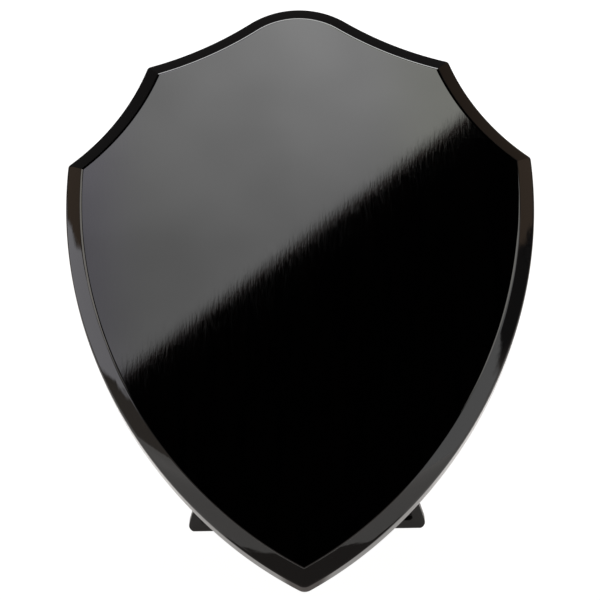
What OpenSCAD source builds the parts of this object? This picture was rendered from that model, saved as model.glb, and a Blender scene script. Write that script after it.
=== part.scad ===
// Presentation shield plaque that stands on its tip and on a fold-out strut.
//
// A bevelled wooden shield carries a keyhole hanger let into its back and a moulded strut. The strut's
// leg turns on a steel pin between the ears of its bracket, and opens until its heel lands on the plate.
//
// The front faces -Y and leans back. The plaque stands on z = 0, with x = 0 as its plane of symmetry.

/* [Shield outline] */
// Width of the shield at its widest level
board_w = 156; // [130:1:190]
// Height of the top of the dome above the widest level
top_rise = 68.6; // [60:0.2:84]
// Radius of the long arcs down the sides
side_r = 154; // [126:1:186]
// Radius of the tighter arcs that end the sides at the tip
low_side_r = 132; // [110:1:150]
// Angle below level where the tighter arcs start, seen from the middle of the long arc
low_side_angle = 48; // [40:1:52]
// Height of the lower corners above the widest level
corner_rise = 11.2; // [8:0.1:16]
// Radius of the hollow cuts below the shoulders
cut_r = 79.5; // [60:0.5:110]
// Width from shoulder to shoulder
shoulder_w = 102.8; // [90:0.2:116]
// Radius of the dome in the middle of the top edge
dome_r = 29.5; // [24:0.5:34]
// Angle from the middle of the dome to where its flank starts
dome_angle = 34; // [28:1:36]
// Radius of the hollow flanks between the dome and the shoulders
flank_r = 118.5; // [95:0.5:142]
// Rounding of the shoulders and lower corners
corner_r = 1.7; // [1:0.1:4]
// Rounding of the tip
tip_r = 3.5; // [1:0.1:6]

/* [Shield section] */
// Thickness of the shield
board_t = 12; // [10:0.5:18]
// Width of the bevel, seen from the front
bevel_w = 5.2; // [3:0.1:8]
// Depth of the bevel
bevel_d = 3.2; // [2:0.1:5]
// Chamfer round the back edge
back_chamfer = 0.8; // [0.4:0.1:1.5]

/* [Stance] */
// Angle that the shield leans back
lean = 26; // [20:0.5:31]
// Distance from the tip's resting line back to the strut's feet
foot_reach = 87; // [70:1:104]
// Height of the hinge pin above the tip, along the back
pivot_h = 112; // [95:1:125]

/* [Strut leg] */
// Width across the feet
foot_w = 86.5; // [70:0.5:100]
// Width at the top of the leg's panel
leg_top_w = 26; // [24:1:32]
// Thickness of the leg
leg_t = 4.5; // [4:0.1:6]
// Width of the raised rim round the panel
rim_w = 3.8; // [3:0.1:5]
// Thickness of the panel inside the rim
panel_t = 2; // [1.5:0.1:3]
// Width of the stiffening ribs
rib_w = 1.6; // [1.2:0.1:2.4]
// Number of cross ribs
cross_ribs = 3; // [1:1:5]
// Rounding of the corners inside the rim
recess_r = 1; // [0.5:0.1:2]
// Rounding of the leg's lower corners
foot_r = 2.6; // [2:0.1:5]
// Height of the flat cut along the edge that the feet stand on
foot_flat = 0.3; // [0.2:0.05:0.6]
// Width of the shallow arch between the feet
arch_w = 44; // [30:1:50]
// Height of the arch
arch_h = 1; // [0.5:0.1:1.5]
// Height of the heel above the pin
heel_h = 8; // [7:0.1:10]

/* [Strut hinge] */
// Radius of the hinge pin
pin_r = 1.5; // [1.2:0.1:1.8]
// Outer radius of the leg's barrel
barrel_r = 3.6; // [3:0.1:4.4]
// Length of the leg's barrel
barrel_w = 12; // [10:0.5:14]
// Thickness of each ear of the bracket
ear_t = 4; // [3:0.1:5]
// Outer radius of the ears
ear_r = 4.2; // [3.6:0.1:5]
// Radius of the pin's head
pin_head_r = 2.6; // [2.2:0.1:3]
// Thickness of the pin's head
pin_head_t = 1; // [0.8:0.1:1.5]
// Radius of the push nut on the pin's plain end
nut_r = 3.4; // [3:0.1:4]
// Thickness of the push nut
nut_t = 0.5; // [0.4:0.1:0.8]

/* [Strut bracket] */
// Width of the bracket's plate
bracket_w = 34; // [32:1:44]
// Thickness of the bracket's plate
bracket_t = 2.5; // [2:0.1:3.5]
// How far the plate runs above the pin
bracket_up = 27; // [25:1:32]
// How far the plate runs below the pin
bracket_down = 8; // [6:1:12]
// Rounding of the plate's corners
bracket_r = 3; // [1:0.5:5]
// Distance between the screws across the plate
screw_pitch_x = 25; // [24:1:28]
// Height of the lower screws above the pin
low_screw_h = 8.5; // [8:0.5:10]
// Distance between the lower and upper screws
screw_pitch_z = 14; // [10:0.5:16]

/* [Keyhole hanger] */
// Length of the hanger plate
hanger_len = 38; // [36:1:46]
// Width of the hanger plate
hanger_w = 14; // [12:0.5:18]
// Thickness of the hanger plate
hanger_t = 1.2; // [1:0.1:2]
// Radius of the keyhole's round opening
key_r = 3.75; // [3:0.05:4.2]
// Width of the keyhole's slot
key_slot_w = 4; // [3.2:0.1:4.4]
// Distance from the round opening up to the end of the slot
key_travel = 8; // [6:0.5:9]
// Distance between the hanger's two screws
hanger_pitch = 28; // [27:0.5:32]
// Depth of the routed pocket behind the plate
pocket_depth = 5; // [4:0.5:6]
// Radius of the routed pocket's ends
pocket_r = 4.8; // [4.6:0.1:5.5]
// Space between the bracket and the hanger plate
hanger_gap = 6; // [4:1:12]

/* [Screws] */
// Radius of a wood screw's shank
screw_r = 1.4; // [1.2:0.1:1.6]
// Radius of a wood screw's head
screw_head_r = 2.7; // [2.4:0.1:3]
// Length of a wood screw
screw_len = 9; // [8:0.5:10]

/* [Clearances] */
// Radial clearance between the pin and the leg's bore
pin_run = 0.05; // [0.03:0.01:0.08]
// Radial clearance between the pin and the ears
pin_seat = 0.02; // [0.01:0.01:0.04]
// Space between the leg's barrel and each ear
ear_gap = 0.3; // [0.2:0.05:0.5]
// Space between the leg's barrel and the plate
barrel_gap = 0.4; // [0.3:0.05:0.8]
// Space between the heel and the plate when the leg is open
stop_gap = 0.1; // [0.05:0.05:0.2]
// Space round the hanger plate in its recess
recess_gap = 0.15; // [0.1:0.05:0.3]
// How far a screw or push nut bites into what it holds
bite = 0.03; // [0.01:0.01:0.05]

/* [Hidden] */
$fn = 64;

black = "#151413";
brown_black = "#2a2623";
zinc = "#b8b9b4";
steel = "#9a9c9e";

// Overlap that keeps cuts and joins clean, a length beyond the whole model, and the smallest mitre rounding
eps = 0.01;
far = 400;
min_corner_r = 0.15;

// Segments on each arc of half the outline
dome_steps = 10;
flank_steps = 14;
corner_steps = 5;
cut_steps = 14;
side_steps = 36;
low_side_steps = 12;
tip_steps = 3;

// ---------- plane geometry ----------

function direction(a) = [cos(a), sin(a)];
function angle_of(from, to) = atan2(to.y - from.y, to.x - from.x);
function wrapped(a) = a - 360 * round(a / 360);
function arc(c, r, a0, a1, steps) =
    [for (i = [0:steps]) c + r * direction(a0 + wrapped(a1 - a0) * i / steps)];
function without_first(points) = [for (i = [1:len(points) - 1]) points[i]];

// Where two circles cross, on the left of the line from centre a to centre b (side = 1) or on its right (-1)
function cross_of(a, ra, b, rb, side) =
    let (gap = norm(b - a), u = (b - a) / gap, along = (ra * ra - rb * rb + gap * gap) / (2 * gap))
    a + along * u + side * sqrt(ra * ra - along * along) * [-u.y, u.x];

// ---------- shield outline: x across, y up, measured from the middle of the widest level ----------

dome_c = [0, top_rise - dome_r];
flank_c = dome_c + (dome_r + flank_r) * direction(90 - dome_angle);
side_c = [board_w / 2 - side_r, 0];
low_side_c = side_c + (side_r - low_side_r) * direction(-low_side_angle);
shoulder = [shoulder_w / 2, flank_c.y - sqrt(pow(flank_r, 2) - pow(flank_c.x - shoulder_w / 2, 2))];
lower_corner = [side_c.x + sqrt(pow(side_r, 2) - pow(corner_rise, 2)), corner_rise];
cut_c = cross_of(shoulder, cut_r, lower_corner, cut_r, 1);

// Right half of the outline, moved inwards by inset, from the top of the dome down to the tip
function right_half(inset) =
    let (
        r = max(corner_r - inset, min_corner_r),
        rt = max(tip_r - inset, min_corner_r),
        shoulder_c = cross_of(flank_c, flank_r + inset + r, cut_c, cut_r + inset + r, -1),
        corner_c = cross_of(cut_c, cut_r + inset + r, side_c, side_r - inset - r, 1),
        tip_c = [0, low_side_c.y - sqrt(pow(low_side_r - inset - rt, 2) - pow(low_side_c.x, 2))]
    )
    concat(
        arc(dome_c, dome_r - inset, 90, 90 - dome_angle, dome_steps),
        without_first(arc(flank_c, flank_r + inset, 270 - dome_angle, angle_of(flank_c, shoulder_c),
                          flank_steps)),
        without_first(arc(shoulder_c, r, angle_of(shoulder_c, flank_c), angle_of(shoulder_c, cut_c),
                          corner_steps)),
        without_first(arc(cut_c, cut_r + inset, angle_of(cut_c, shoulder_c), angle_of(cut_c, corner_c),
                          cut_steps)),
        without_first(arc(corner_c, r, angle_of(corner_c, cut_c), angle_of(side_c, corner_c), corner_steps)),
        without_first(arc(side_c, side_r - inset, angle_of(side_c, corner_c), -low_side_angle, side_steps)),
        without_first(arc(low_side_c, low_side_r - inset, -low_side_angle, angle_of(low_side_c, tip_c),
                          low_side_steps)),
        without_first(arc(tip_c, rt, angle_of(low_side_c, tip_c), -90, tip_steps))
    );
function outline(inset) =
    let (half = right_half(inset), last = len(half) - 1)
    concat(half, [for (i = [last - 1:-1:1]) [-half[i].x, half[i].y]]);

// ---------- stance ----------

// Height of the widest level above the tip, and of the whole shield, along the back
tip_drop = -right_half(0)[len(right_half(0)) - 1].y;
board_h = tip_drop + top_rise;

// A point of the shield's own upright frame (depth, height), leaned back about the tip
function leaned(y, z) = [y * cos(lean) + z * sin(lean), z * cos(lean) - y * sin(lean)];
lowest = min(leaned(-back_chamfer, 0).y, leaned(0, back_chamfer).y);

pivot_off = bracket_t + barrel_r + barrel_gap;
pivot_raw = leaned(pivot_off, pivot_h) - [0, lowest];
tip_line = leaned(-back_chamfer, 0).x;
foot_raw = tip_line + foot_reach;

// The leg's tilt from upright puts the lower front edge of its feet at foot_raw on the floor
foot_run = foot_raw - pivot_raw.x;
leg_tilt = acos(-leg_t / 2 / norm([foot_run, pivot_raw.y])) - atan2(pivot_raw.y, foot_run);
leg_low = -(pivot_raw.y + foot_flat) / cos(leg_tilt) + leg_t / 2 * tan(leg_tilt);
leg_back = pivot_raw.x + leg_t / 2 * cos(leg_tilt) - leg_low * sin(leg_tilt);

// The model is centred front to back on the space that it takes up
front_y = min(concat([for (p = outline(bevel_w)) leaned(-board_t, p.y + tip_drop).x],
                     [for (p = outline(0)) leaned(bevel_d - board_t, p.y + tip_drop).x]));
back_y = max(leaned(0, board_h - back_chamfer).x, leg_back);
centre_y = (front_y + back_y) / 2;

pivot = pivot_raw - [centre_y, 0];

module in_board_frame() {
    translate([0, -centre_y, -lowest]) rotate([-lean, 0, 0]) children();
}

// Frame of the leg: the pin runs along X through the origin, the leg hangs down -Z, -Y faces the shield
module in_leg_frame() {
    translate([0, pivot.x, pivot.y]) rotate([leg_tilt, 0, 0]) children();
}

// ---------- shared pieces ----------

// Cylinder along X, from x0 to x1
module rod_x(r, x0, x1) {
    translate([x0, 0, 0]) rotate([0, 90, 0]) cylinder(r = r, h = x1 - x0);
}

// Flat bar with round ends, standing in XZ: its end centres are at heights z0 and z1, its faces at y0 and y1
module round_bar(r, z0, z1, y0, y1) {
    for (z = [z0, z1]) translate([0, y1, z]) rotate([90, 0, 0]) cylinder(r = r, h = y1 - y0);
    translate([-r, y0, z0]) cube([2 * r, y1 - y0, z1 - z0]);
}

// Countersunk hole or screw head: mouth at y = 0, tapering into the material along -Y
module countersink() {
    rotate([90, 0, 0]) cylinder(r1 = screw_head_r, r2 = screw_r, h = screw_head_r - screw_r);
}

// Wood screw along -Y with its head flush at y = 0
module wood_screw() {
    point_h = 2.5;
    slot_w = 0.7;
    slot_len = 3;
    slot_d = 0.9;
    difference() {
        union() {
            countersink();
            rotate([90, 0, 0]) cylinder(r = screw_r, h = screw_len - point_h);
            translate([0, point_h - screw_len, 0]) rotate([90, 0, 0])
                cylinder(r1 = screw_r, r2 = 0.2, h = point_h);
        }
        for (turn = [0, 90]) rotate([0, turn, 0])
            translate([-slot_len / 2, -slot_d, -slot_w / 2]) cube([slot_len, slot_d + eps, slot_w]);
    }
}

// ---------- keyhole hanger ----------

// Middle of the hanger plate, along the back
hanger_mid = pivot_h + bracket_up + hanger_gap + hanger_len / 2;
key_low = hanger_mid - key_travel / 2;
key_high = hanger_mid + key_travel / 2;
module at_hanger_screws() {
    for (side = [-1, 1]) translate([0, 0, hanger_mid + side * hanger_pitch / 2]) children();
}

module hanger_plate() {
    end = hanger_len / 2 - hanger_w / 2;
    color(zinc) in_board_frame() difference() {
        round_bar(hanger_w / 2, hanger_mid - end, hanger_mid + end, -hanger_t, 0);
        translate([0, eps, key_low]) rotate([90, 0, 0]) cylinder(r = key_r, h = hanger_t + 2 * eps);
        round_bar(key_slot_w / 2, key_low, key_high, -hanger_t - eps, eps);
        at_hanger_screws() countersink();
    }
}

module hanger_screws() {
    color(steel) in_board_frame() at_hanger_screws() wood_screw();
}

// ---------- strut bracket ----------

module at_bracket_screws() {
    for (side = [-1, 1], row = [0, 1])
        translate([side * screw_pitch_x / 2, bracket_t, pivot_h + low_screw_h + row * screw_pitch_z])
            children();
}

ear_x = barrel_w / 2 + ear_gap;

module bracket_plate() {
    corner_x = bracket_w / 2 - bracket_r;
    low = pivot_h - bracket_down;
    high = pivot_h + bracket_up;
    for (x = [-corner_x, corner_x]) translate([x, 0, 0])
        round_bar(bracket_r, low + bracket_r, high - bracket_r, 0, bracket_t);
    translate([-corner_x, 0, low]) cube([2 * corner_x, bracket_t, high - low]);
}

// Ear round the pin, with a gusset that runs up the plate
module bracket_ear() {
    gusset_h = 12;
    gusset_t = 1.6;
    rod_x(ear_r, 0, ear_t);
    translate([0, -pivot_off, -ear_r]) cube([ear_t, pivot_off, 2 * ear_r]);
    translate([0, 0, ear_r]) rotate([90, 0, 90]) linear_extrude(gusset_t)
        polygon([[-pivot_off, 0], [0, 0], [bracket_t - pivot_off, gusset_h], [-pivot_off, gusset_h]]);
}

module strut_bracket() {
    color(brown_black) in_board_frame() difference() {
        union() {
            bracket_plate();
            for (side = [0, 1]) mirror([side, 0, 0]) translate([ear_x, pivot_off, pivot_h]) bracket_ear();
        }
        translate([0, pivot_off, pivot_h]) rod_x(pin_r + pin_seat, -far, far);
        at_bracket_screws() union() {
            countersink();
            rotate([90, 0, 0]) cylinder(r = screw_r, h = bracket_t + eps);
        }
    }
}

module bracket_screws() {
    color(steel) in_board_frame() at_bracket_screws() wood_screw();
}

// ---------- hinge pin and push nut ----------

pin_end = ear_x + ear_t;

module at_pivot() {
    in_board_frame() translate([0, pivot_off, pivot_h]) children();
}

module hinge_pin() {
    stub = 1.2;
    color(steel) at_pivot() {
        rod_x(pin_r, -pin_end, pin_end + nut_t + stub);
        rod_x(pin_head_r, -pin_end - pin_head_t, -pin_end);
    }
}

module push_nut() {
    color(zinc) at_pivot() difference() {
        rod_x(nut_r, pin_end, pin_end + nut_t);
        rod_x(pin_r - bite, pin_end - eps, pin_end + nut_t + eps);
    }
}

// ---------- strut leg ----------

leg_top = -ear_r - 2 * ear_gap;
leg_slope = atan2((foot_w - leg_top_w) / 2, leg_top - leg_low);

// Points round the corner at b, on the way from a to c, with rounding r
function rounded_corner(a, b, c, r) =
    let (
        u = (a - b) / norm(a - b),
        v = (c - b) / norm(c - b),
        half_angle = acos(u * v) / 2,
        centre = b + (u + v) / norm(u + v) * r / sin(half_angle),
        touch = r / tan(half_angle)
    )
    arc(centre, r, angle_of(centre, b + touch * u), angle_of(centre, b + touch * v), 6);

// Leg's outline moved inwards by inset, with its lower corners rounded by low_r and its upper ones by top_r
module leg_outline(inset, low_r, top_r) {
    side_inset = inset / cos(leg_slope);
    z0 = leg_low + inset;
    z1 = leg_top - inset;
    x0 = foot_w / 2 - inset * tan(leg_slope) - side_inset;
    x1 = leg_top_w / 2 + inset * tan(leg_slope) - side_inset;
    corners = [[-x0, z0], [x0, z0], [x1, z1], [-x1, z1]];
    radii = [low_r, low_r, top_r, top_r];
    polygon([for (i = [0:3]) each
             rounded_corner(corners[(i + 3) % 4], corners[i], corners[(i + 1) % 4], radii[i])]);
}

// Slab of the leg between two depths, from a plane outline
module leg_slab(y0, y1) {
    translate([0, y1, 0]) rotate([90, 0, 0]) linear_extrude(y1 - y0) children();
}

module leg_ribs() {
    recess_low = leg_low + rim_w;
    recess_high = leg_top - rim_w;
    spacing = (recess_high - recess_low) / (cross_ribs + 1);
    leg_slab(-leg_t / 2, leg_t / 2) intersection() {
        leg_outline(rim_w - eps, recess_r, recess_r);
        union() {
            translate([-rib_w / 2, leg_low]) square([rib_w, leg_top - leg_low]);
            for (i = [1:cross_ribs]) translate([-foot_w / 2, recess_low + i * spacing - rib_w / 2])
                square([foot_w, rib_w]);
        }
    }
}

module leg_body() {
    difference() {
        leg_slab(-leg_t / 2, leg_t / 2) leg_outline(0, foot_r, 2 * recess_r);
        leg_slab(-leg_t / 2 - eps, leg_t / 2 - panel_t) leg_outline(rim_w, recess_r, recess_r);
    }
    leg_ribs();
    // Neck, barrel and heel
    translate([-barrel_w / 2, -leg_t / 2, leg_top - eps]) cube([barrel_w, leg_t, heel_h - leg_top + eps]);
    rod_x(barrel_r, -barrel_w / 2, barrel_w / 2);
}

module strut_leg() {
    arch_r = (pow(arch_w / 2, 2) + pow(arch_h, 2)) / (2 * arch_h);
    color(brown_black) difference() {
        in_leg_frame() difference() {
            leg_body();
            rod_x(pin_r + pin_run, -far, far);
        }
        // Floor under the feet, the arch between them, and the plate that the heel lands on
        translate([-far / 2, -far / 2, -far]) cube([far, far, far]);
        translate([0, far / 2, arch_h - arch_r]) rotate([90, 0, 0]) cylinder(r = arch_r, h = far, $fn = 128);
        in_board_frame() translate([-barrel_w, bracket_t + stop_gap - far, 0]) cube([2 * barrel_w, far, far]);
    }
}

// ---------- shield board ----------

// Rings of the board, from the face to the back: how far in from the outline, and how deep
rings = [[bevel_w, -board_t], [0, bevel_d - board_t], [0, -back_chamfer], [back_chamfer, 0]];

module board_blank() {
    count = len(outline(0));
    last = len(rings) - 1;
    points = [for (ring = rings) each [for (p = outline(ring[0])) [p.x, ring[1], p.y + tip_drop]]];
    bands = [for (k = [0:last - 1], i = [0:count - 1])
        let (j = (i + 1) % count, a = k * count, b = a + count)
        each [[a + i, a + j, b + j], [a + i, b + j, b + i]]];
    caps = [[for (i = [count - 1:-1:0]) i], [for (i = [0:count - 1]) last * count + i]];
    polyhedron(points, concat(bands, caps));
}

module shield_board() {
    hole_depth = screw_len + 0.5;
    end = hanger_len / 2 - hanger_w / 2;
    color(black) in_board_frame() difference() {
        board_blank();
        round_bar(hanger_w / 2 + recess_gap, hanger_mid - end, hanger_mid + end, -hanger_t, eps);
        round_bar(pocket_r, key_low, key_high, -hanger_t - pocket_depth, eps);
        at_hanger_screws() rotate([90, 0, 0]) cylinder(r = screw_r - bite, h = hole_depth);
        at_bracket_screws() rotate([90, 0, 0]) cylinder(r = screw_r - bite, h = hole_depth);
    }
}

shield_board();
hanger_plate();
hanger_screws();
strut_bracket();
bracket_screws();
hinge_pin();
push_nut();
strut_leg();
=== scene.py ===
"""Looks of the black lacquered shield plaque, built round its CAD frame. Lengths are in metres."""
import math

import bmesh
import bpy
from mathutils import Matrix, Vector


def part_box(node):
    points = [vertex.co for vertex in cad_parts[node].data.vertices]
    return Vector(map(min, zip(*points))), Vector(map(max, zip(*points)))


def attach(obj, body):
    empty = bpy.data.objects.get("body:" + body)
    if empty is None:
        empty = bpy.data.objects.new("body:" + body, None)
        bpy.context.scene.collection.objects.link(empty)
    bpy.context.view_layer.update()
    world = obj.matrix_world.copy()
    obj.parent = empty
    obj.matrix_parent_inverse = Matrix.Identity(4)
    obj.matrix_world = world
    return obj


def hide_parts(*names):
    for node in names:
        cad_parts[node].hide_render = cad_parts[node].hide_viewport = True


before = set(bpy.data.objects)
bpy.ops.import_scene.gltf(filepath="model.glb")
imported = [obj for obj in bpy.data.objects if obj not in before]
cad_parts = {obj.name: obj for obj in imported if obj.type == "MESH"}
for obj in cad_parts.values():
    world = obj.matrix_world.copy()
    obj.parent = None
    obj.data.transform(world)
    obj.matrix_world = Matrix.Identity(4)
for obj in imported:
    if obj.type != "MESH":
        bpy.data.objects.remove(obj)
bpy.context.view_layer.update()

MM = 0.001

# ---------------------------------------------------------------- shield dimensions, as in the CAD part

BOARD_W = 156 * MM
TOP_RISE = 68.6 * MM
SIDE_R = 154 * MM
LOW_SIDE_R = 132 * MM
LOW_SIDE_ANGLE = math.radians(48)
CORNER_RISE = 11.2 * MM
CUT_R = 79.5 * MM
SHOULDER_W = 102.8 * MM
DOME_R = 29.5 * MM
DOME_ANGLE = math.radians(34)
FLANK_R = 118.5 * MM
CORNER_R = 1.7 * MM
TIP_R = 3.5 * MM
BOARD_T = 12 * MM
BEVEL_W = 5.2 * MM
BEVEL_D = 3.2 * MM
BACK_CHAMFER = 0.8 * MM
LEAN = math.radians(26)

PIVOT_H = 112 * MM
BRACKET_UP = 27 * MM
LOW_SCREW_H = 8.5 * MM
SCREW_PITCH_X = 25 * MM
SCREW_PITCH_Z = 14 * MM
HANGER_GAP = 6 * MM
HANGER_LEN = 38 * MM
HANGER_W = 14 * MM
HANGER_T = 1.2 * MM
HANGER_PITCH = 28 * MM
HANGER_MID = PIVOT_H + BRACKET_UP + HANGER_GAP + HANGER_LEN / 2
KEY_TRAVEL = 8 * MM
POCKET_R = 4.8 * MM
POCKET_DEPTH = 5 * MM
RECESS_GAP = 0.15 * MM
PILOT_R = 1.37 * MM
PILOT_DEPTH = 9.5 * MM

# Finish of the lacquered edges, which the CAD part leaves sharp
ARRIS_R = 2.4 * MM
BEVEL_CROWN = 0.03 * MM
RIM_R = 1.4 * MM
BACK_R = 1.1 * MM

# Smallest rounding left where a ring's inset uses up a corner
MIN_CORNER_R = 0.1 * MM

# Segments on each arc of half the outline, on the section's roundings, and round bars and holes
DOME_STEPS = 24
FLANK_STEPS = 30
CORNER_STEPS = 10
CUT_STEPS = 34
SIDE_STEPS = 86
LOW_SIDE_STEPS = 28
TIP_STEPS = 8
EDGE_STEPS = 8
RIM_STEPS = 10
ROUND_STEPS = 24

UP = math.pi / 2
DOWN = -math.pi / 2


# ---------------------------------------------------------------- plane geometry

def direction(angle):
    return Vector((math.cos(angle), math.sin(angle)))


def angle_of(start, end):
    return math.atan2(end.y - start.y, end.x - start.x)


def wrapped(angle):
    return angle - math.tau * round(angle / math.tau)


def arc(centre, radius, start, end, steps):
    turn = wrapped(end - start)
    return [centre + radius * direction(start + turn * i / steps) for i in range(steps + 1)]


def cross_of(a, radius_a, b, radius_b, side):
    """Where two circles cross, on the left of the line from a to b (side 1) or on its right (-1)."""
    gap = (b - a).length
    ahead = (b - a) / gap
    along = (radius_a ** 2 - radius_b ** 2 + gap ** 2) / (2 * gap)
    off = math.sqrt(radius_a ** 2 - along ** 2)
    return a + ahead * along + Vector((-ahead.y, ahead.x)) * off * side


# ---------------------------------------------------------------- shield outline: x across, y up

DOME_C = Vector((0, TOP_RISE - DOME_R))
FLANK_C = DOME_C + (DOME_R + FLANK_R) * direction(UP - DOME_ANGLE)
SIDE_C = Vector((BOARD_W / 2 - SIDE_R, 0))
LOW_SIDE_C = SIDE_C + (SIDE_R - LOW_SIDE_R) * direction(-LOW_SIDE_ANGLE)
SHOULDER_X = SHOULDER_W / 2
SHOULDER = Vector((SHOULDER_X, FLANK_C.y - math.sqrt(FLANK_R ** 2 - (FLANK_C.x - SHOULDER_X) ** 2)))
LOWER_CORNER = Vector((SIDE_C.x + math.sqrt(SIDE_R ** 2 - CORNER_RISE ** 2), CORNER_RISE))
CUT_C = cross_of(SHOULDER, CUT_R, LOWER_CORNER, CUT_R, 1)


def right_half(inset):
    """Right half of the outline moved inwards by inset, from the top of the dome down to the tip."""
    round_r = max(CORNER_R - inset, MIN_CORNER_R)
    tip_r = max(TIP_R - inset, MIN_CORNER_R)
    shoulder_c = cross_of(FLANK_C, FLANK_R + inset + round_r, CUT_C, CUT_R + inset + round_r, -1)
    corner_c = cross_of(CUT_C, CUT_R + inset + round_r, SIDE_C, SIDE_R - inset - round_r, 1)
    tip_c = Vector((0, LOW_SIDE_C.y - math.sqrt((LOW_SIDE_R - inset - tip_r) ** 2 - LOW_SIDE_C.x ** 2)))
    stretches = (
        arc(DOME_C, DOME_R - inset, UP, UP - DOME_ANGLE, DOME_STEPS),
        arc(FLANK_C, FLANK_R + inset, DOWN - DOME_ANGLE, angle_of(FLANK_C, shoulder_c), FLANK_STEPS),
        arc(shoulder_c, round_r, angle_of(shoulder_c, FLANK_C), angle_of(shoulder_c, CUT_C), CORNER_STEPS),
        arc(CUT_C, CUT_R + inset, angle_of(CUT_C, shoulder_c), angle_of(CUT_C, corner_c), CUT_STEPS),
        arc(corner_c, round_r, angle_of(corner_c, CUT_C), angle_of(SIDE_C, corner_c), CORNER_STEPS),
        arc(SIDE_C, SIDE_R - inset, angle_of(SIDE_C, corner_c), -LOW_SIDE_ANGLE, SIDE_STEPS),
        arc(LOW_SIDE_C, LOW_SIDE_R - inset, -LOW_SIDE_ANGLE, angle_of(LOW_SIDE_C, tip_c), LOW_SIDE_STEPS),
        arc(tip_c, tip_r, angle_of(LOW_SIDE_C, tip_c), DOWN, TIP_STEPS),
    )
    return [point for i, stretch in enumerate(stretches) for point in stretch[min(i, 1):]]


def outline(inset):
    """The whole outline moved inwards by inset, as a closed ring."""
    half = right_half(inset)
    return half + [Vector((-p.x, p.y)) for p in half[-2:0:-1]]


TIP_DROP = -right_half(0)[-1].y


# ---------------------------------------------------------------- board's section: inset and depth

def fillet(before, corner, after, radius, steps):
    """Points of the rounding at corner, on the way from before to after."""
    back = (before - corner).normalized()
    ahead = (after - corner).normalized()
    half_angle = math.acos(back.dot(ahead)) / 2
    centre = corner + (back + ahead).normalized() * radius / math.sin(half_angle)
    touch = radius / math.tan(half_angle)
    start = angle_of(centre, corner + back * touch)
    end = angle_of(centre, corner + ahead * touch)
    return arc(centre, radius, start, end, steps)


def bowed(start, end, sag, steps):
    """Points between start and end, bulging by sag to the left of the way from start to end."""
    side = Vector((start.y - end.y, end.x - start.x)).normalized()
    return [start.lerp(end, i / steps) + side * sag * (1 - (2 * i / steps - 1) ** 2)
            for i in range(1, steps)]


def board_section():
    """The section from the edge of the face, round the bevel and side, to the edge of the back."""
    inland = 2 * BEVEL_W  # any place well inside the face and the back
    face = Vector((inland, -BOARD_T))
    arris = Vector((BEVEL_W, -BOARD_T))
    rim = Vector((0, BEVEL_D - BOARD_T))
    back_edge = Vector((0, 0))
    back = Vector((inland, 0))
    arris_round = fillet(face, arris, rim, ARRIS_R, EDGE_STEPS)
    rim_round = fillet(arris, rim, back_edge, RIM_R, RIM_STEPS)
    back_round = fillet(rim, back_edge, back, BACK_R, EDGE_STEPS)
    crown = bowed(arris_round[-1], rim_round[0], BEVEL_CROWN, EDGE_STEPS)
    side = [rim_round[-1].lerp(back_round[0], i / 3) for i in (1, 2)]
    return arris_round + crown + rim_round + side + back_round


def board_matrix():
    """Places the board's own frame, with its tip at the origin, where the CAD board stands."""
    tilt = Matrix.Rotation(-LEAN, 4, "X")
    rings = ((BEVEL_W, -BOARD_T), (0, BEVEL_D - BOARD_T), (0, -BACK_CHAMFER), (BACK_CHAMFER, 0))
    points = [tilt @ Vector((p.x, depth, p.y + TIP_DROP)) for inset, depth in rings for p in outline(inset)]
    lowest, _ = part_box("shield_board")
    shift = Vector((0, lowest.y - min(p.y for p in points), lowest.z - min(p.z for p in points)))
    return Matrix.Translation(shift) @ tilt


BOARD_FRAME = board_matrix()


# ---------------------------------------------------------------- mesh helpers

def mesh_object(name, bm, matrix=None):
    """Object in the scene from a bmesh, which is used up. matrix moves the mesh itself."""
    bmesh.ops.recalc_face_normals(bm, faces=bm.faces)
    mesh = bpy.data.meshes.new(name)
    bm.to_mesh(mesh)
    bm.free()
    made = bpy.data.objects.new(name, mesh)
    bpy.context.scene.collection.objects.link(made)
    if matrix is not None:
        mesh.transform(matrix)
    return made


def apply_modifiers(made):
    bpy.context.view_layer.update()
    graph = bpy.context.evaluated_depsgraph_get()
    mesh = bpy.data.meshes.new_from_object(made.evaluated_get(graph), preserve_all_data_layers=True,
                                           depsgraph=graph)
    made.modifiers.clear()
    made.data = mesh


def smooth(made, angle=30):
    """Smooth shading with flat faces kept flat and edges sharper than angle kept sharp."""
    for polygon in made.data.polygons:
        polygon.use_smooth = True
    made.data.set_sharp_from_angle(angle=math.radians(angle))
    weighted = made.modifiers.new("flat_faces", "WEIGHTED_NORMAL")
    weighted.keep_sharp = True
    weighted.weight = 100
    apply_modifiers(made)


def ring_band(bm, low, high):
    """Band of faces between two closed rings of as many vertices."""
    count = len(low)
    for i in range(count):
        j = (i + 1) % count
        bm.faces.new((low[i], low[j], high[j], high[i]))


def bar_outline(radius, low, high):
    """Upright bar with round ends, whose end centres are at heights low and high."""
    turns = [i / ROUND_STEPS for i in range(ROUND_STEPS + 1)]
    top = [Vector((0, high)) + radius * direction(math.pi * turn) for turn in turns]
    bottom = [Vector((0, low)) + radius * direction(math.pi * (1 + turn)) for turn in turns]
    return top + bottom


def prism(bm, points, y0, y1):
    """Solid between depths y0 and y1 on a plane outline."""
    near = [bm.verts.new((p.x, y0, p.y)) for p in points]
    distant = [bm.verts.new((p.x, y1, p.y)) for p in points]
    ring_band(bm, near, distant)
    bm.faces.new(near)
    bm.faces.new(list(reversed(distant)))


def subtract(made, cutter):
    cut = made.modifiers.new("cut", "BOOLEAN")
    cut.operation = "DIFFERENCE"
    cut.solver = "EXACT"
    cut.object = cutter
    apply_modifiers(made)
    bpy.data.objects.remove(cutter)


# ---------------------------------------------------------------- board

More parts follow.
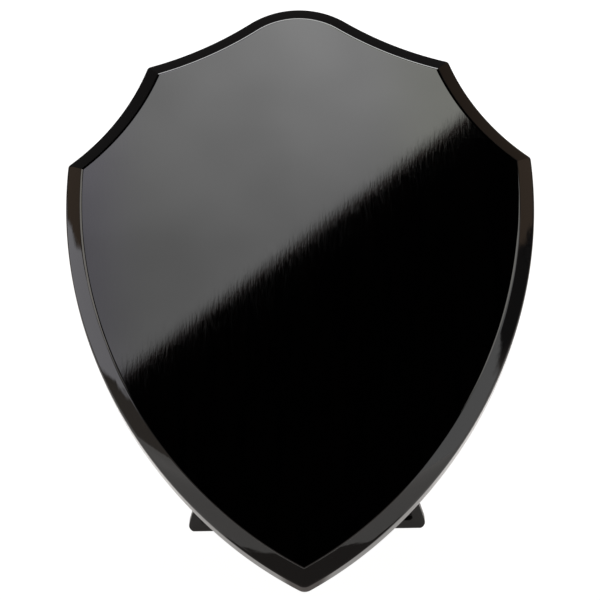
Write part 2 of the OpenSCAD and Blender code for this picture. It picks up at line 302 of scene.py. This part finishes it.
def board_blank():
    """The shield before anything is cut into its back."""
    bm = bmesh.new()
    rings = []
    for inset, depth in board_section():
        rings.append([bm.verts.new((p.x, depth, p.y + TIP_DROP)) for p in outline(inset)])
    for low, high in zip(rings, rings[1:]):
        ring_band(bm, low, high)
    bm.faces.new(list(reversed(rings[0])))
    bm.faces.new(rings[-1])
    return mesh_object("shield", bm, BOARD_FRAME)


def screw_places():
    """Across and up places of the hanger's two screws and the bracket's four."""
    hanger = [(0, HANGER_MID + side * HANGER_PITCH / 2) for side in (-1, 1)]
    bracket = [(side * SCREW_PITCH_X / 2, PIVOT_H + LOW_SCREW_H + row * SCREW_PITCH_Z)
               for side in (-1, 1) for row in (0, 1)]
    return hanger + bracket


def board_cutter():
    """Recess for the hanger plate, the pocket behind its keyhole and the pilot holes of all the screws."""
    beyond = 1 * MM
    bm = bmesh.new()
    end = (HANGER_LEN - HANGER_W) / 2
    recess = bar_outline(HANGER_W / 2 + RECESS_GAP, HANGER_MID - end, HANGER_MID + end)
    prism(bm, recess, -HANGER_T, beyond)
    key_low = HANGER_MID - KEY_TRAVEL / 2
    prism(bm, bar_outline(POCKET_R, key_low, key_low + KEY_TRAVEL), -HANGER_T - POCKET_DEPTH, beyond)
    for x, z in screw_places():
        circle = [Vector((x, z)) + PILOT_R * direction(math.tau * i / ROUND_STEPS)
                  for i in range(ROUND_STEPS)]
        prism(bm, circle, -PILOT_DEPTH, beyond)
    return mesh_object("cutter", bm, BOARD_FRAME)


def shield(lacquer):
    """The board with its lacquered edges, in place of the CAD board."""
    board = board_blank()
    subtract(board, board_cutter())
    smooth(board)
    board.data.materials.append(lacquer)
    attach(board, "plaque")
    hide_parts("shield_board")


# ---------------------------------------------------------------- material helpers

# Sockets of the Mix node that carry its factor and its colours
MIX_COLOUR_INPUTS = (0, 6, 7)
MIX_COLOUR_OUTPUT = 2


class Nodes:
    """Short way to write a material's or world's node tree."""

    def __init__(self, owner):
        owner.use_nodes = True
        self.tree = owner.node_tree
        self.tree.nodes.clear()

    def add(self, kind, settings=None, **inputs):
        made = self.tree.nodes.new(kind)
        for key, value in (settings or {}).items():
            setattr(made, key, value)
        for key, value in inputs.items():
            self.set(made, key.replace("_", " "), value)
        return made

    def set(self, made, key, value):
        socket = made.inputs[key]
        if isinstance(value, bpy.types.NodeSocket):
            self.tree.links.new(value, socket)
        else:
            socket.default_value = value

    def math(self, operation, first, second):
        made = self.add("ShaderNodeMath", {"operation": operation})
        self.set(made, 0, first)
        self.set(made, 1, second)
        return made.outputs[0]

    def measure(self, operation, first, second=(0, 0, 0)):
        """Number from one or two vectors: their dot product, distance or length."""
        made = self.add("ShaderNodeVectorMath", {"operation": operation})
        self.set(made, 0, first)
        self.set(made, 1, second)
        return made.outputs["Value"]

    def split(self, vector):
        """Outputs with the x, y and z of a vector."""
        return self.add("ShaderNodeSeparateXYZ", Vector=vector).outputs

    def ramp(self, value, low, high, to_low=0.0, to_high=1.0, kind="SMOOTHSTEP"):
        """value, mapped from low..high to to_low..to_high."""
        made = self.add("ShaderNodeMapRange", {"interpolation_type": kind})
        for key, amount in enumerate((value, low, high, to_low, to_high)):
            self.set(made, key, amount)
        return made.outputs[0]

    def mix_colour(self, factor, first, second):
        made = self.add("ShaderNodeMix", {"data_type": "RGBA"})
        for key, value in zip(MIX_COLOUR_INPUTS, (factor, first, second)):
            self.set(made, key, value)
        return made.outputs[MIX_COLOUR_OUTPUT]

    def place(self):
        """The object's own coordinates."""
        return self.add("ShaderNodeTexCoord").outputs["Object"]

    def board_place(self):
        """The board's own coordinates, with z up along its back."""
        about_x = {"rotation_type": "X_AXIS"}
        return self.add("ShaderNodeVectorRotate", about_x, Vector=self.place(), Angle=LEAN).outputs[0]

    def mix_shader(self, factor, first, second):
        made = self.add("ShaderNodeMixShader")
        for key, value in enumerate((factor, first, second)):
            self.set(made, key, value)
        return made.outputs[0]

    def noise(self, vector, scale, detail=2.0, roughness=0.5):
        made = self.add("ShaderNodeTexNoise", Vector=vector, Scale=scale, Detail=detail, Roughness=roughness)
        return made.outputs[0]

    def stretched(self, vector, scales):
        """vector, with each axis scaled on its own."""
        return self.add("ShaderNodeMapping", Vector=vector, Scale=scales).outputs[0]

    def bump(self, height, distance, normal=None):
        made = self.add("ShaderNodeBump", Height=height, Distance=distance)
        if normal is not None:
            self.set(made, "Normal", normal)
        return made.outputs[0]

    def emission(self, colour, strength):
        return self.add("ShaderNodeEmission", Color=colour, Strength=strength).outputs[0]

    def clear(self):
        return self.add("ShaderNodeBsdfTransparent").outputs[0]

    def principled(self, **inputs):
        return self.add("ShaderNodeBsdfPrincipled", **inputs).outputs[0]

    def is_camera_ray(self):
        return self.add("ShaderNodeLightPath").outputs["Is Camera Ray"]

    def surface(self, shader, output="ShaderNodeOutputMaterial"):
        self.add(output, Surface=shader)


def material(name):
    made = bpy.data.materials.new(name)
    return made, Nodes(made)


# ---------------------------------------------------------------- materials

# Noise scales across, in depth and along the grain, and heights of the bumps in metres
GRAIN_SCALE, GRAIN_BUMP = (1500, 1500, 260), 4.4e-6
BROAD_SCALE, BROAD_BUMP = (420, 420, 40), 3e-6
FIBRE_SCALE, FIBRE_BUMP = (2600, 2600, 60), 2.5e-5
WAVE_SCALE, WAVE_BUMP = 38.0, 0.5e-5
SPECK_SCALE = 2600.0

# How far in from the back the satin coat starts, and where it is full
SATIN_START, SATIN_FULL = 0.3 * MM, 0.1 * MM

# Darker and lighter tone of each finish
GLOSS_TONES = (0.0002, 0.0002, 0.0003, 1), (0.0006, 0.0005, 0.0005, 1)
SATIN_TONES = (0.004, 0.0034, 0.003, 1), (0.009, 0.0075, 0.0062, 1)
PLASTIC_TONES = (0.0065, 0.0052, 0.0045, 1), (0.0105, 0.0085, 0.0072, 1)
RUBBED_TONE = (0.03, 0.027, 0.024, 1)
ZINC_TONES = (0.55, 0.56, 0.54, 1), (0.68, 0.68, 0.66, 1)
STEEL_TONES = (0.42, 0.42, 0.43, 1), (0.56, 0.56, 0.56, 1)


def lacquer_material():
    """Black gloss lacquer on wood: upright grain that just shows through, and a faint waviness of the coat.
    The back has only a thin satin coat, with the grain open in it."""
    made, nodes = material("black_lacquer")
    place = nodes.board_place()
    back = (Matrix.Rotation(LEAN, 4, "X") @ BOARD_FRAME.translation).y
    satin = nodes.ramp(nodes.split(place)[1], back - SATIN_START, back - SATIN_FULL)
    grain = nodes.noise(nodes.stretched(place, GRAIN_SCALE), 1.0, 3.0, 0.6)
    broad = nodes.noise(nodes.stretched(place, BROAD_SCALE), 1.0, 2.0)
    fibres = nodes.noise(nodes.stretched(place, FIBRE_SCALE), 1.0, 3.0, 0.6)
    waves = nodes.noise(place, WAVE_SCALE, 1.0)
    specks = nodes.noise(place, SPECK_SCALE, 1.0)
    normal = nodes.bump(waves, WAVE_BUMP)
    normal = nodes.bump(broad, BROAD_BUMP, normal)
    normal = nodes.bump(grain, GRAIN_BUMP, normal)
    normal = nodes.bump(nodes.math("MULTIPLY", fibres, satin), FIBRE_BUMP, normal)
    gloss_rough = nodes.math("ADD", nodes.ramp(grain, 0.35, 0.7, 0.02, 0.05),
                             nodes.ramp(specks, 0.62, 0.72, 0.0, 0.03))
    satin_rough = nodes.math("MULTIPLY", nodes.ramp(fibres, 0.3, 0.7, 0.28, 0.4), satin)
    gloss_tone = nodes.mix_colour(nodes.ramp(broad, 0.3, 0.7), *GLOSS_TONES)
    satin_tone = nodes.mix_colour(nodes.ramp(fibres, 0.35, 0.65), *SATIN_TONES)
    nodes.surface(nodes.principled(
        Base_Color=nodes.mix_colour(satin, gloss_tone, satin_tone),
        Roughness=nodes.math("ADD", satin_rough, gloss_rough), Normal=normal, IOR=1.5,
        Coat_Weight=nodes.ramp(satin, 0.0, 1.0, 0.3, 0.0), Coat_Roughness=0.02))
    return made


def plastic_material():
    """Brown-black moulded plastic: spark-eroded texture, faint flow marks, scuffs and paler rubbed edges."""
    made, nodes = material("strut_plastic")
    place = nodes.place()
    texture = nodes.noise(place, 2600.0, 3.0, 0.6)
    cloud = nodes.noise(place, 60.0, 3.0)
    flow = nodes.noise(nodes.stretched(place, (30, 30, 9)), 1.0, 4.0, 0.65)
    scuffs = nodes.noise(nodes.stretched(place, (900, 900, 90)), 1.0, 2.0)
    edges = nodes.ramp(nodes.add("ShaderNodeNewGeometry").outputs["Pointiness"], 0.52, 0.6)
    tone = nodes.mix_colour(cloud, *PLASTIC_TONES)
    tone = nodes.mix_colour(nodes.math("MULTIPLY", edges, cloud), tone, RUBBED_TONE)
    rough = nodes.math("ADD", nodes.ramp(texture, 0.3, 0.7, 0.32, 0.44),
                       nodes.ramp(scuffs, 0.58, 0.75, 0.0, 0.12))
    rough = nodes.math("ADD", nodes.ramp(flow, 0.4, 0.6, -0.05, 0.06), rough)
    normal = nodes.bump(texture, 1.6e-5, nodes.bump(flow, 2e-5))
    nodes.surface(nodes.principled(Base_Color=tone, Roughness=rough, Normal=normal, IOR=1.47))
    return made


def plated_material(name, tones, smoothest, roughest, brush):
    """Plated or bare steel: brushed lines along one axis, and cloudy plating that is rougher in places."""
    made, nodes = material(name)
    place = nodes.place()
    lines = nodes.noise(nodes.stretched(place, brush), 1.0, 3.0, 0.6)
    cloud = nodes.noise(place, 170.0, 3.0)
    tone = nodes.mix_colour(nodes.ramp(cloud, 0.35, 0.65), *tones)
    rough = nodes.math("ADD", nodes.ramp(lines, 0.3, 0.7, smoothest, roughest),
                       nodes.ramp(cloud, 0.4, 0.7, 0.0, 0.08))
    nodes.surface(nodes.principled(Base_Color=tone, Metallic=1.0, Roughness=rough,
                                   Normal=nodes.bump(lines, 2e-6)))
    return made


# ---------------------------------------------------------------- studio

# Point that cards and lights face, half the side of a card's square, how far a card's edges wander, and the
# axes of its plane
AIM = Vector((0, 0, 0.1))
CARD_HALF = 0.75
WANDER = 0.02
ACROSS, UPWARD = 0, 1


def sky_direction(azimuth, elevation):
    """Unit vector from the object. Azimuth 0 is towards -Y, 90 is towards +X."""
    a, e = math.radians(azimuth), math.radians(elevation)
    return Vector((math.sin(a) * math.cos(e), -math.cos(a) * math.cos(e), math.sin(e)))


def only_reflected(made):
    """Leaves the object to be seen in mirror reflections and nowhere else."""
    made.visible_camera = False
    made.visible_shadow = False
    made.visible_diffuse = False


def card(name, azimuth, elevation, strength, edges, distance=1.0, tint=(1, 1, 1), fade=(), flag=False,
         paint=None):
    """Glowing card that faces the object and is seen only in reflections. Its plane has x across and y up.
    Each of the edges is the angle of its inward normal, its offset and its softness. Edges wander a little,
    except on a flag. fade gives the strength's ramps, each an axis, its two ends and the strengths there.
    Beyond its edges a card is clear, and a flag is black. paint changes the level and colour further."""
    bm = bmesh.new()
    bmesh.ops.create_grid(bm, x_segments=1, y_segments=1, size=CARD_HALF)
    made = mesh_object(name, bm)
    facing = sky_direction(azimuth, elevation)
    across = Vector((math.cos(math.radians(azimuth)), math.sin(math.radians(azimuth)), 0))
    turn = Matrix((across, facing.cross(across), facing)).transposed().to_4x4()
    made.matrix_world = Matrix.Translation(AIM + facing * distance) @ turn
    glow, nodes = material(name)
    place = nodes.place()
    mask = 1.0
    ripple = 0.0 if flag else nodes.ramp(nodes.noise(place, 16.0, 3.0), 0.25, 0.75, -WANDER, WANDER)
    for angle, offset, soft in edges:
        normal = (math.cos(math.radians(angle)), math.sin(math.radians(angle)), 0)
        inside = nodes.math("ADD", nodes.measure("DOT_PRODUCT", place, normal), ripple)
        mask = nodes.math("MULTIPLY", nodes.ramp(inside, offset, offset + soft), mask)
    level = nodes.math("MULTIPLY", mask, strength) if flag else strength
    for axis, start, end, low, high in fade:
        along = nodes.split(place)[axis]
        level = nodes.math("MULTIPLY", nodes.ramp(along, start, end, low, high, "LINEAR"), level)
    colour = (*tint, 1)
    if paint:
        level, colour = paint(nodes, place, mask, level, colour)
    shader = nodes.emission(colour, level)
    nodes.surface(shader if flag else nodes.mix_shader(mask, nodes.clear(), shader))
    made.data.materials.append(glow)
    only_reflected(made)


def panel_paint(nodes, place, mask, level, colour):
    """Faint clouds, a violet left side, an olive right side and a reddish edge."""
    violet, olive, red = (0.97, 0.94, 1.06, 1), (1.0, 1.01, 0.93, 1), (1, 0.55, 0.5, 1)
    across = nodes.split(place)[ACROSS]
    clouds = nodes.noise(nodes.stretched(place, (8, 9, 1)), 1.0, 2.0)
    level = nodes.math("MULTIPLY", nodes.ramp(clouds, 0.3, 0.7, 0.91, 1.09), level)
    colour = nodes.mix_colour(nodes.ramp(across, -0.12, -0.19), colour, violet)
    colour = nodes.mix_colour(nodes.ramp(across, 0.05, 0.13), colour, olive)
    colour = nodes.mix_colour(nodes.ramp(mask, 0.0, 0.3), red, colour)
    return level, colour


def box_edges(left, right, low, high, soft=0.03):
    """Soft edges of an upright rectangle in a card's own plane."""
    return ((0, left, soft), (180, -right, soft), (90, low, soft), (-90, -high, soft))


def area_light(name, azimuth, elevation, distance, size, watts):
    """Light that faces the object and isn't mirrored in it."""
    data = bpy.data.lights.new(name, "AREA")
    data.shape = "RECTANGLE"
    data.size, data.size_y = size
    data.energy = watts
    made = bpy.data.objects.new(name, data)
    facing = sky_direction(azimuth, elevation)
    made.location = AIM + facing * distance
    made.rotation_euler = (-facing).to_track_quat("-Z", "Y").to_euler()
    made.visible_camera = False
    made.visible_glossy = False
    bpy.context.scene.collection.objects.link(made)


def studio():
    """The panel that the face mirrors, the cards and walls that the bevels mirror, and light from above."""
    brown = (1, 0.74, 0.56)
    slanting_edge, left_edge = (127, -0.009, 0.013), (0, -0.213, 0.012)
    right_edge, top_edge = (180, -0.21, 0.06), (-90, -0.6, 0.1)
    card("front_panel", azimuth=-1.5, elevation=48, strength=1.0,
         edges=(slanting_edge, left_edge, right_edge, top_edge),
         fade=((UPWARD, 0.0, 0.2, 2.15, 3.9), (ACROSS, -0.2, 0.0, 0.7, 1.0)), flag=True, paint=panel_paint)
    card("left_card", azimuth=-74, elevation=17, strength=2.0, edges=box_edges(-0.4, 0.4, -0.21, 0.115),
         distance=0.95, tint=(1, 0.98, 1.04))
    card("right_card", azimuth=55, elevation=6, strength=1.2, edges=box_edges(-0.3, 0.185, -0.3, 0.5),
         distance=0.95)
    card("left_high_card", azimuth=-48, elevation=38, strength=2.6, edges=box_edges(-0.22, 0.22, -0.25, 0.2),
         tint=(1, 0.95, 0.88))
    card("right_high_card", azimuth=42, elevation=37, strength=2.4, edges=box_edges(-0.22, 0.22, -0.25, 0.11),
         tint=(1, 0.97, 0.92))
    card("left_wall", azimuth=-87, elevation=36, strength=0.42, edges=box_edges(-0.15, 0.3, -0.25, 0.12),
         tint=brown)
    card("right_wall", azimuth=87, elevation=36, strength=0.45, edges=box_edges(-0.3, 0.2, -0.25, 0.15),
         tint=brown)
    card("right_back_wall", azimuth=112, elevation=50, strength=0.2, edges=box_edges(-0.25, 0.35, -0.2, 0.2),
         tint=brown)
    card("overhead", azimuth=0, elevation=86, strength=8.0, edges=box_edges(-0.45, 0.45, -0.25, 0.25),
         distance=1.2)
    area_light("overhead", azimuth=0, elevation=86, distance=1.2, size=(0.5, 0.5), watts=6)


def floor():
    """White table top. The camera sees it nearly shadowless, as an overexposed sweep, and the object's
    lacquer reflects it with its shadows."""
    seen_glow, share_of_glow = 1.12, 0.8
    bm = bmesh.new()
    bmesh.ops.create_circle(bm, cap_ends=True, segments=96, radius=6)
    made = mesh_object("floor", bm)
    white, nodes = material("white_floor")
    place = nodes.place()
    tone = nodes.mix_colour(nodes.noise(place, 6.0), (0.90, 0.88, 0.86, 1), (0.93, 0.91, 0.89, 1))
    away = nodes.measure("LENGTH", place)
    shaded = nodes.principled(Base_Color=tone, Roughness=0.9, Specular_IOR_Level=0.1,
                              Emission_Color=(1, 0.97, 0.94, 1),
                              Emission_Strength=nodes.ramp(away, 0.15, 1.0, 0.5, 0.95))
    lit = nodes.emission((1, 1, 1, 1), seen_glow)
    share = nodes.math("MULTIPLY", nodes.is_camera_ray(), share_of_glow)
    nodes.surface(nodes.mix_shader(share, shaded, lit))
    made.data.materials.append(white)


def front_shade():
    """Painted shadow: a soft dark patch on the table before the tip, with a ragged edge. It is seen only in
    reflections.
    """
    centre = Vector((0.007, -0.06, 0.0005))
    radius, soft, wander = 0.06, 0.003, 0.012
    rear_start, rear_end = -0.04, -0.034
    bm = bmesh.new()
    bmesh.ops.create_grid(bm, x_segments=1, y_segments=1, size=1.3 * radius)
    made = mesh_object("front_shade", bm, Matrix.Translation(centre))
    dark, nodes = material("front_shade")
    place = nodes.place()
    ragged = nodes.ramp(nodes.noise(place, 55.0, 2.0), 0.0, 1.0, -wander, wander)
    away = nodes.math("ADD", nodes.measure("DISTANCE", place, centre), ragged)
    depth = nodes.split(place)[1]
    mask = nodes.math("MULTIPLY", nodes.ramp(away, radius + soft, radius - soft),
                      nodes.ramp(depth, rear_end, rear_start))
    shade = nodes.emission((1, 0.9, 0.85, 1), 0.2)
    nodes.surface(nodes.mix_shader(mask, nodes.clear(), shade))
    made.data.materials.append(dark)
    only_reflected(made)


def background():
    """White to the camera, and a dim room everywhere else, warm and a little lighter near the floor."""
    world = bpy.data.worlds.new("studio")
    bpy.context.scene.world = world
    nodes = Nodes(world)
    height = nodes.split(nodes.add("ShaderNodeTexCoord").outputs["Generated"])[2]
    tone = nodes.mix_colour(nodes.ramp(height, 0.2, 0.1), (0.085, 0.08, 0.08, 1), (0.4, 0.35, 0.31, 1))
    room = nodes.add("ShaderNodeBackground", Color=tone, Strength=1.0).outputs[0]
    white = nodes.add("ShaderNodeBackground", Color=(1, 1, 1, 1), Strength=1.2).outputs[0]
    nodes.surface(nodes.mix_shader(nodes.is_camera_ray(), room, white), "ShaderNodeOutputWorld")


# ---------------------------------------------------------------- camera

# Place, turns in degrees (about the upright, down from level, about the view) and lens in millimetres
CAMERA_PLACE = Vector((0.0081, -0.6268, 0.1538))
CAMERA_YAW = 0.775
CAMERA_PITCH = 6.015
CAMERA_ROLL = -1.069
CAMERA_LENS = 114.43
CAMERA_SENSOR = 36


def camera():
    data = bpy.data.cameras.new("camera")
    data.lens = CAMERA_LENS
    data.sensor_width = CAMERA_SENSOR
    data.clip_start = 0.01
    made = bpy.data.objects.new("camera", data)
    yaw, pitch, roll = (math.radians(a) for a in (CAMERA_YAW, 90 - CAMERA_PITCH, CAMERA_ROLL))
    turn = Matrix.Rotation(yaw, 4, "Z") @ Matrix.Rotation(pitch, 4, "X") @ Matrix.Rotation(roll, 4, "Z")
    made.matrix_world = Matrix.Translation(CAMERA_PLACE) @ turn
    bpy.context.scene.collection.objects.link(made)
    bpy.context.scene.camera = made


# ---------------------------------------------------------------- pieces on the CAD shapes

def refined(node, body, radius, finish):
    """Piece on a CAD node's own shape, with the edges rounded as moulding or pressing leaves them."""
    weld, flat, sharp = 0.001 * MM, math.radians(0.5), math.radians(35)
    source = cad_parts[node]
    bm = bmesh.new()
    bm.from_mesh(source.data)
    bm.transform(source.matrix_world)
    bmesh.ops.remove_doubles(bm, verts=bm.verts, dist=weld)
    bmesh.ops.dissolve_limit(bm, angle_limit=flat, verts=bm.verts, edges=bm.edges)
    edges = [e for e in bm.edges if len(e.link_faces) == 2 and e.calc_face_angle() > sharp]
    bmesh.ops.bevel(bm, geom=edges, offset=radius, offset_type="OFFSET", segments=3, profile=0.5,
                    affect="EDGES", clamp_overlap=False)
    made = mesh_object(node + "_finished", bm)
    smooth(made, angle=40)
    made.data.materials.append(finish)
    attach(made, body)
    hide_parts(node)


# ---------------------------------------------------------------- scene

camera()
studio()
floor()
front_shade()
background()
bpy.context.scene.view_settings.view_transform = "Standard"

lacquer = lacquer_material()
plastic = plastic_material()
zinc = plated_material("zinc_plate", ZINC_TONES, smoothest=0.22, roughest=0.36, brush=(4000, 4000, 300))
steel = plated_material("screw_steel", STEEL_TONES, smoothest=0.18, roughest=0.3, brush=(3000, 3000, 3000))
shield(lacquer)
refined("strut_leg", "leg", 0.35 * MM, plastic)
refined("strut_bracket", "plaque", 0.3 * MM, plastic)
refined("hanger_plate", "plaque", 0.15 * MM, zinc)
refined("push_nut", "plaque", 0.1 * MM, zinc)
refined("hanger_screws", "plaque", 0.08 * MM, steel)
refined("bracket_screws", "plaque", 0.08 * MM, steel)
refined("hinge_pin", "plaque", 0.25 * MM, steel)
